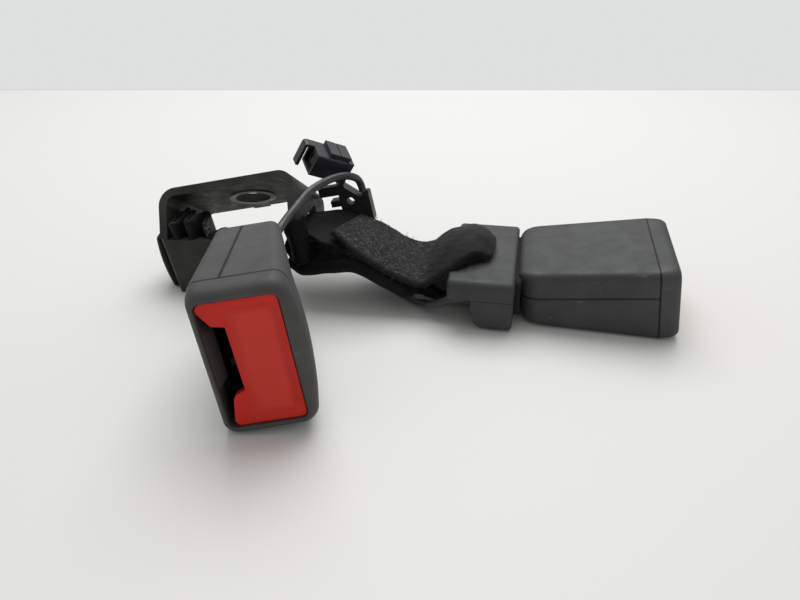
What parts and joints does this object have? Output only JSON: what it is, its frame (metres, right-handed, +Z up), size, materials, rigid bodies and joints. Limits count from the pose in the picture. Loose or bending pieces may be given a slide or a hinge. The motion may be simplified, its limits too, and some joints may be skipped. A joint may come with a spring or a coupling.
{
  "type": "seat belt buckle assembly",
  "caption": "Twin rear seat belt buckle assembly: push-button buckles on webbing straps looped through a bolted steel floor bracket, with switch leads to a plug.",
  "frame": {"origin": "on the anchor bore's axis, at the inner face of the bracket's web", "axes": "+X along the right-hand buckle's strap, the assembly's longest way; +Y away from the front of the left-hand buckle; +Z up from the surface it lies on"},
  "size_m": [0.257, 0.1607, 0.0699],
  "materials": {
    "housing": "fine grained",
    "bezel": "satin",
    "button": "satin",
    "steel": "zinc plated",
    "spring_steel": "bright",
    "webbing": "woven",
    "bracket": "worn coat",
    "bush": "worn bright",
    "carrier": "satin",
    "plug": "satin",
    "contacts": "satin",
    "lead": "matte",
    "grommet": "matte",
    "fork": "natural",
    "neck": "fine grained"
  },
  "bodies": {
    "bracket": {"anchor_bracket": "bracket", "anchor_bush": "bush", "connector_carrier": "carrier", "connector_housing": "plug", "connector_lock": "plug", "contact_block": "contacts", "left_strap_loop": "webbing", "left_lead": "lead", "right_lead": "lead"},
    "left_arm": {"left_slot_side_cover": "housing", "left_button_side_cover": "housing", "left_mouth_bezel": "bezel", "left_frame": "steel", "left_latch_pin": "steel", "left_latch_spring": "spring_steel", "left_ejector_spring": "spring_steel", "left_button_springs": "spring_steel", "left_webbing_bar": "steel", "left_switch_housing": "contacts", "left_strap": "webbing", "left_lead_grommet": "grommet"},
    "left_button": {"left_push_button": "button"},
    "left_ejector_fork": {"left_ejector": "fork"},
    "left_latch": {"left_latch_plate": "steel"},
    "right_arm": {"right_slot_side_cover": "housing", "right_button_side_cover": "housing", "right_mouth_bezel": "bezel", "right_frame": "steel", "right_latch_pin": "steel", "right_latch_spring": "spring_steel", "right_ejector_spring": "spring_steel", "right_button_springs": "spring_steel", "right_webbing_bar": "steel", "right_switch_housing": "contacts", "right_strap": "webbing", "right_lead_grommet": "grommet", "right_neck_upper": "neck", "right_neck_lower": "neck"},
    "right_button": {"right_push_button": "button"},
    "right_ejector_fork": {"right_ejector": "fork"},
    "right_latch": {"right_latch_plate": "steel"}
  },
  "joints": [
    {"name": "right_strap_swing", "type": "hinge", "parent": "bracket", "child": "right_arm", "pos_m": [0.02932, -0.02186, -0.01239], "axis": [0.1564, 0.9877, 0], "range_deg": [-12, 6], "deforming": ["right_lead"]},
    {"name": "left_strap_swing", "type": "hinge", "parent": "bracket", "child": "left_arm", "pos_m": [-0.00893, -0.02086, -0.01677], "axis": [-0.2104, 0.0333, 0.977], "range_deg": [-10, 6], "deforming": ["left_lead"]},
    {"name": "left_button_press", "type": "slide", "parent": "left_arm", "child": "left_button", "axis": [-0.0523, 0.9986, 0], "range_m": [0, 0.005], "stiffness_N_per_m": 900, "springref_m": -0.003, "deforming": ["left_button_springs"]},
    {"name": "left_ejector_slide", "type": "slide", "parent": "left_arm", "child": "left_ejector_fork", "axis": [-0.0523, 0.9986, 0], "range_m": [0, 0.009], "stiffness_N_per_m": 500, "springref_m": -0.004, "deforming": ["left_ejector_spring"]},
    {"name": "left_latch_turn", "type": "hinge", "parent": "left_arm", "child": "left_latch", "pos_m": [0.01554, -0.09034, -0.01043], "axis": [0.1476, 0.0077, -0.989], "range_deg": [0, 9.5]},
    {"name": "right_button_press", "type": "slide", "parent": "right_arm", "child": "right_button", "axis": [-0.976, 0.1756, -0.1288], "range_m": [0, 0.005], "stiffness_N_per_m": 900, "springref_m": -0.003, "deforming": ["right_button_springs"]},
    {"name": "right_ejector_slide", "type": "slide", "parent": "right_arm", "child": "right_ejector_fork", "axis": [-0.976, 0.1756, -0.1288], "range_m": [0, 0.009], "stiffness_N_per_m": 500, "springref_m": -0.004, "deforming": ["right_ejector_spring"]},
    {"name": "right_latch_turn", "type": "hinge", "parent": "right_arm", "child": "right_latch", "pos_m": [0.15299, -0.0361, -0.02306], "axis": [-0.17, -0.984, -0.0536], "range_deg": [0, 9.5]}
  ],
  "couplings": [
    {"joint": "left_latch_turn", "follows": "left_ejector_slide", "rad_per_m": 18.229},
    {"joint": "right_latch_turn", "follows": "right_ejector_slide", "rad_per_m": 18.229}
  ]
}
